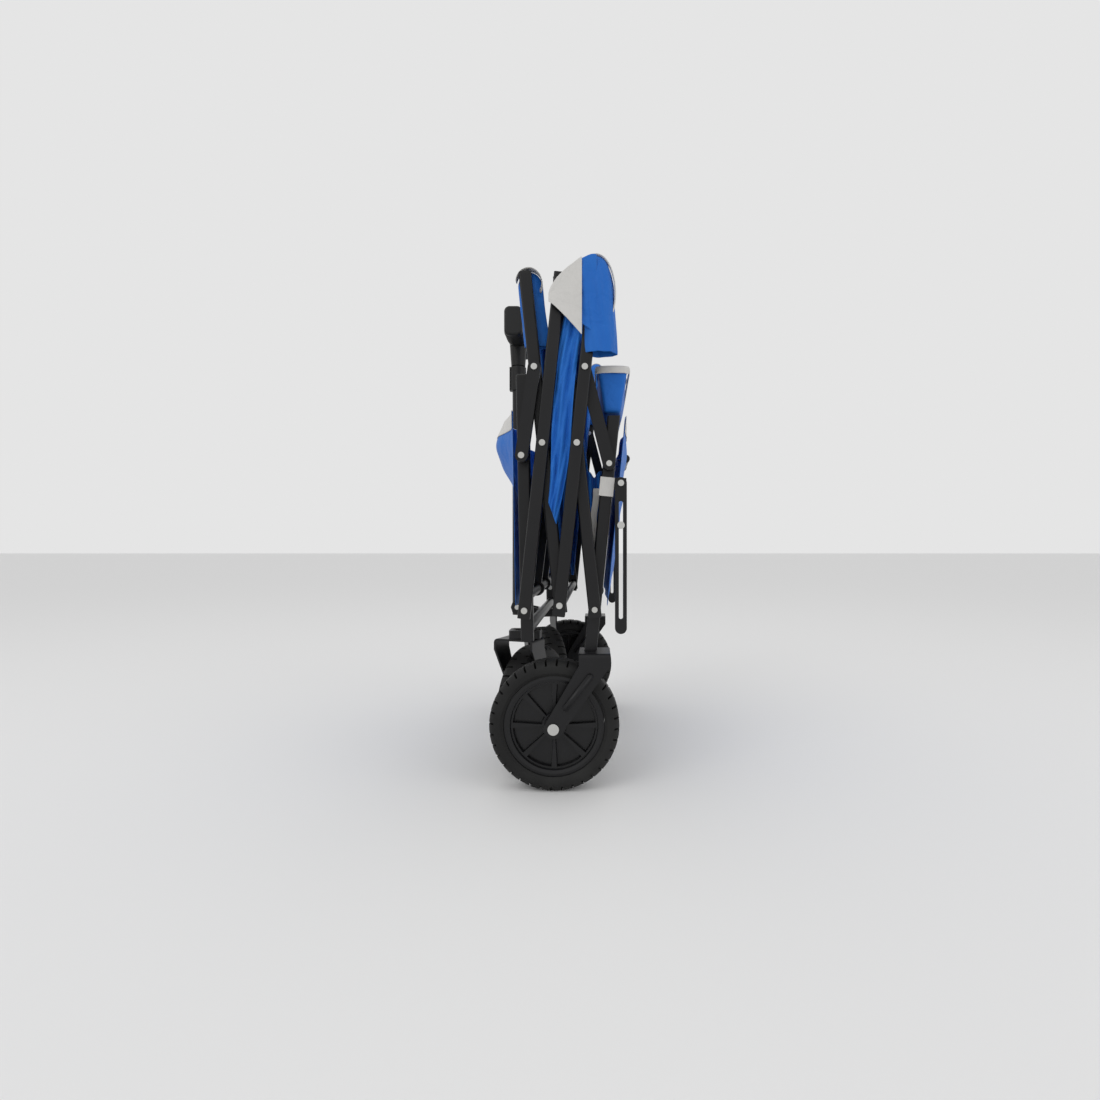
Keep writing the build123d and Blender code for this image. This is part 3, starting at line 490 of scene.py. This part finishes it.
# ---- cloth cap on the front tall bars ------------------------------------------------------------
# A small gathered hood of blue cloth with a grey bound edge, drawn over the bar's end from behind,
# so the bar's outer face still shows.
front_plug_low, front_plug_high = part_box("front_bar_plugs")
front_tip = (front_plug_low + front_plug_high) / 2
sock_shift, sock_drop = 0.0050, 0.0150
for side in (-1, 1):
    name = "left" if side < 0 else "right"
    sock = bmesh.new()
    bmesh.ops.create_uvsphere(sock, u_segments=36, v_segments=18, radius=1.0)
    bmesh.ops.bisect_plane(sock, geom=sock.verts[:] + sock.edges[:] + sock.faces[:], plane_co=(0, 0, 0),
                           plane_no=(0, 0, -1), clear_outer=True)
    skirt = [e for e in sock.edges if e.is_boundary]
    for level in range(5):
        grown = bmesh.ops.extrude_edge_only(sock, edges=skirt)["geom"]
        bmesh.ops.translate(sock, vec=(0, 0, -0.5),
                            verts=[g for g in grown if isinstance(g, bmesh.types.BMVert)])
        skirt = [g for g in grown if isinstance(g, bmesh.types.BMEdge)]
    for vertex in sock.verts:
        x, y, z = vertex.co
        fold = ripple((x, y, z * 0.4), 0.0020, 1.7, 21.0 + side)
        lean = -0.0042 * min(z, 0)
        vertex.co = Vector((front_tip.x + sock_shift + lean + x * (0.0165 + fold),
                            side * 0.2270 + y * (0.0065 + 0.4 * fold),
                            front_plug_high.z - sock_drop + 0.0185 * max(z, 0) + 0.034 * min(z, 0)))
    thicken(settle(sock, "front_hood_" + name, "front_tall", blue_nylon), 0.0010)
    band = bmesh.new()
    arch = [band.verts.new((front_tip.x + sock_shift + 0.0178 * math.cos(turn), side * 0.2262,
                            front_plug_high.z - sock_drop + 0.0196 * math.sin(turn)))
            for turn in (math.radians(-35 + 10 * step) for step in range(22))]
    lines = [band.edges.new(pair) for pair in zip(arch, arch[1:])]
    grown = bmesh.ops.extrude_edge_only(band, edges=lines)["geom"]
    bmesh.ops.translate(band, vec=(0, side * 0.0180, 0), verts=[g for g in grown
                                                              if isinstance(g, bmesh.types.BMVert)])
    thicken(settle(band, "front_hood_tape_" + name, "front_tall", grey_tape), 0.0016, 1)

# ---- grey corner patches -------------------------------------------------------------------------
# Triangles of doubled grey cloth over the rivets at the top of the long bars.
top_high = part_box("front_long_bars")[1]
patch_left, patch_right, patch_y = -0.0150, 0.0290, 0.2672
for side in (-1, 1):
    patch = bmesh.new()
    bmesh.ops.create_grid(patch, x_segments=22, y_segments=22, size=0.5)
    for vertex in patch.verts:
        u, v = vertex.co.x + 0.5, vertex.co.y + 0.5
        top = top_high.z - 0.034 + 0.050 * u ** 0.6
        foot = top_high.z - 0.044 - 0.044 * u ** 1.2
        crease = 0.0006 * math.sin(9 * u + 4 * v) + ripple((u, v, side), 0.0012, 3, 31.0)
        vertex.co = Vector((patch_left + (patch_right - patch_left) * u, side * (patch_y + crease),
                            foot + (top - foot) * v))
    piece = settle(patch, "corner_patch_" + ("left" if side < 0 else "right"), "front_long", grey_tape)
    thicken(piece, 0.0010, 1)

# ---- rear pocket ---------------------------------------------------------------------------------
# Shallow cloth tray hung from the tops of the rear posts, open above, with a grey bound mouth. It
# sags between its corners and hangs slack below.
bag_low, bag_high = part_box("rear_pocket")
bag = bmesh.new()
bmesh.ops.create_cube(bag, size=1.0)
bmesh.ops.delete(bag, geom=[f for f in bag.faces if f.calc_center_median().z > 0.4], context="FACES_ONLY")
bmesh.ops.subdivide_edges(bag, edges=[e for e in bag.edges if abs((e.verts[0].co - e.verts[1].co).y) > 0.5],
                          cuts=39, use_grid_fill=True)
bmesh.ops.subdivide_edges(bag, edges=[e for e in bag.edges if abs((e.verts[0].co - e.verts[1].co).z) > 0.5],
                          cuts=9, use_grid_fill=True)
bmesh.ops.subdivide_edges(bag, edges=[e for e in bag.edges if abs((e.verts[0].co - e.verts[1].co).x) > 0.5],
                          cuts=5, use_grid_fill=True)
bag_middle = (bag_low + bag_high) / 2
mouth_sag = 0.006
for vertex in bag.verts:
    x, y, z = vertex.co
    up = z + 0.5
    narrow = 0.50 + 0.45 * up
    sag = mouth_sag * math.cos(math.pi * y) ** 2 * up
    crumple = ripple((x, y * 6, z), 0.004, 1.3, 11.0) * (1 - abs(2 * y) ** 6)
    vertex.co = Vector((bag_middle.x - 0.002 + x * (bag_high.x - bag_low.x - 0.004) * narrow + crumple,
                        y * (bag_high.y - bag_low.y - 0.006) * (0.985 + 0.015 * up),
                        bag_low.z + 0.002 + (bag_high.z - bag_low.z - 0.004) * up - sag))
pocket = settle(bag, "rear_pocket_cloth", "rear_frame", blue_nylon)
thicken(pocket, 0.0012)
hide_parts("rear_pocket")
mouth = bmesh.new()
bmesh.ops.create_cube(mouth, size=1.0)
bmesh.ops.delete(mouth, geom=[f for f in mouth.faces if abs(f.calc_center_median().z) > 0.4],
                 context="FACES_ONLY")
long_edges = [e for e in mouth.edges if abs((e.verts[0].co - e.verts[1].co).y) > 0.5]
bmesh.ops.subdivide_edges(mouth, edges=long_edges, cuts=39, use_grid_fill=True)
for vertex in mouth.verts:
    x, y, z = vertex.co
    sag = mouth_sag * math.cos(math.pi * y) ** 2
    vertex.co = Vector((bag_middle.x - 0.002 + x * (bag_high.x - bag_low.x + 0.001) * 0.955,
                        y * (bag_high.y - bag_low.y + 0.0005), bag_high.z - 0.0065 + z * 0.011 - sag))
thicken(settle(mouth, "rear_pocket_tape", "rear_frame", grey_tape), 0.0024)

# ---- grey tabs round the rear posts --------------------------------------------------------------
# Webbing loops that tie the rear wall to the posts beside the link pins.
link_at = pivot["rear_link_turn"]
for side in (-1, 1):
    tab = bmesh.new()
    bmesh.ops.create_cube(tab, size=1.0)
    bmesh.ops.delete(tab, geom=[f for f in tab.faces if abs(f.calc_center_median().z) > 0.4],
                     context="FACES_ONLY")
    bmesh.ops.scale(tab, vec=(0.0190, 0.0172, 0.026), verts=tab.verts)
    lean = Matrix.Rotation(math.radians(5.6), 4, "Y")
    seat = Vector((link_at.x - 0.0030, side * 0.2250, link_at.z - 0.030))
    bmesh.ops.transform(tab, matrix=Matrix.Translation(seat) @ lean, verts=tab.verts)
    thicken(settle(tab, "post_tab_" + ("left" if side < 0 else "right"), "rear_frame", grey_tape,
                   smooth=False), 0.0008, 0)

# ---- floor pads ----------------------------------------------------------------------------------
# Two stiffened floor halves in blue cloth, sewn round a board, fixed on top of the floor bars.
pad_wide, pad_thick, pad_long = 0.386, 0.0042, 0.276
for half, side in (("front", 1), ("rear", -1)):
    hinge = pivot[half + "_floor_turn"]
    rise = math.radians(83.1)
    along_bar = Vector((side * math.cos(rise), 0, math.sin(rise)))
    upward = Vector((-side * math.sin(rise), 0, math.cos(rise)))
    pad = bmesh.new()
    bmesh.ops.create_cube(pad, size=1.0)
    bmesh.ops.scale(pad, vec=(pad_wide, pad_thick, pad_long), verts=pad.verts)
    bmesh.ops.subdivide_edges(pad, edges=[e for e in pad.edges if e.calc_length() > 0.1], cuts=23,
                              use_grid_fill=True)
    for vertex in pad.verts:
        x, y, z = vertex.co
        crown = (1 - (2 * x / pad_wide) ** 4) * (1 - (2 * z / pad_long) ** 4)
        seam = math.exp(-((abs(x) - 0.065) / 0.004) ** 2)
        vertex.co.y = y * (0.45 + 0.55 * crown - 0.30 * seam * crown)
    turned = Matrix(((0, side * upward.x, along_bar.x), (1, 0, 0),
                     (0, side * upward.z, along_bar.z))).to_4x4()
    middle = hinge + along_bar * (0.153 + 0.012) + upward * 0.0083
    bmesh.ops.transform(pad, matrix=Matrix.Translation(middle) @ turned, verts=pad.verts)
    piece = settle(pad, half + "_floor_pad", half + "_floor", blue_nylon)
    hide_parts(half + "_floor_board")

# ---- carry handle --------------------------------------------------------------------------------
# Grey foam tube with dark end caps, on two blue webbing tabs sewn to the rear wall.
grey_foam = finish("grey foam", (0.30, 0.31, 0.33), (0.40, 0.41, 0.43), 0.7, grain=1400, amount=0.4)
paint(grey_foam, "carry_grip")
paint(blue_nylon, "carry_straps")
carry_low, carry_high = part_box("carry_grip")
carry_middle = (carry_low + carry_high) / 2
cap_radius = 0.0067
for side in (-1, 1):
    cap = bmesh.new()
    bmesh.ops.create_cone(cap, cap_ends=True, segments=40, radius1=cap_radius,
                          radius2=cap_radius, depth=0.010)
    bmesh.ops.bevel(cap, geom=[e for e in cap.edges if abs(e.verts[0].co.z - e.verts[1].co.z) < 0.0001],
                    offset=0.0014, segments=3, affect="EDGES", profile=0.5, material=-1)
    upright = Matrix.Translation((carry_middle.x, side * (carry_high.y - 0.0045), carry_middle.z))
    bmesh.ops.transform(cap, matrix=upright @ Matrix.Rotation(math.radians(90), 4, "X"), verts=cap.verts)
    settle(cap, "carry_cap_" + ("left" if side < 0 else "right"), "rear_frame", grained_black)

# ---- studio --------------------------------------------------------------------------------------
# Pale seamless floor, a soft light from above and each side, and a wide lens near the side of the cart.
pale = bpy.data.materials.new("pale studio floor")
pale.use_nodes = True
pale.node_tree.nodes["Principled BSDF"].inputs["Base Color"].default_value = (0.80, 0.80, 0.80, 1)
pale.node_tree.nodes["Principled BSDF"].inputs["Roughness"].default_value = 0.9
sweep = bmesh.new()
bmesh.ops.create_grid(sweep, x_segments=1, y_segments=1, size=30)
floor_mesh = bpy.data.meshes.new("studio_floor")
sweep.to_mesh(floor_mesh)
sweep.free()
floor_mesh.materials.append(pale)
floor = bpy.data.objects.new("studio_floor", floor_mesh)
bpy.context.scene.collection.objects.link(floor)

world = bpy.data.worlds.new("studio")
bpy.context.scene.world = world
world.use_nodes = True
world.node_tree.nodes["Background"].inputs["Color"].default_value = (0.80, 0.80, 0.80, 1)
world.node_tree.nodes["Background"].inputs["Strength"].default_value = 0.98
for name, place, size, power in (("key", (-1.6, -2.2, 2.4), 1.8, 16), ("fill", (2.2, -1.6, 1.4), 1.6, 6),
                                 ("top", (0.0, 0.6, 2.8), 2.0, 4)):
    light = bpy.data.lights.new(name, "AREA")
    light.energy = power
    light.size = size
    lamp = bpy.data.objects.new(name, light)
    lamp.location = place
    lamp.rotation_euler = (Vector((0, 0, 0.35)) - Vector(place)).to_track_quat("-Z", "Y").to_euler()
    bpy.context.scene.collection.objects.link(lamp)
bpy.context.scene.view_settings.view_transform = "Standard"

lens = bpy.data.cameras.new("camera")
lens.lens = 20.8
lens.shift_x = -0.042
lens.shift_y = -0.003
camera = bpy.data.objects.new("camera", lens)
camera.location = (0.0476, -1.099, 0.329)
camera.rotation_euler = (math.radians(90), 0, 0)
bpy.context.scene.collection.objects.link(camera)
bpy.context.scene.camera = camera
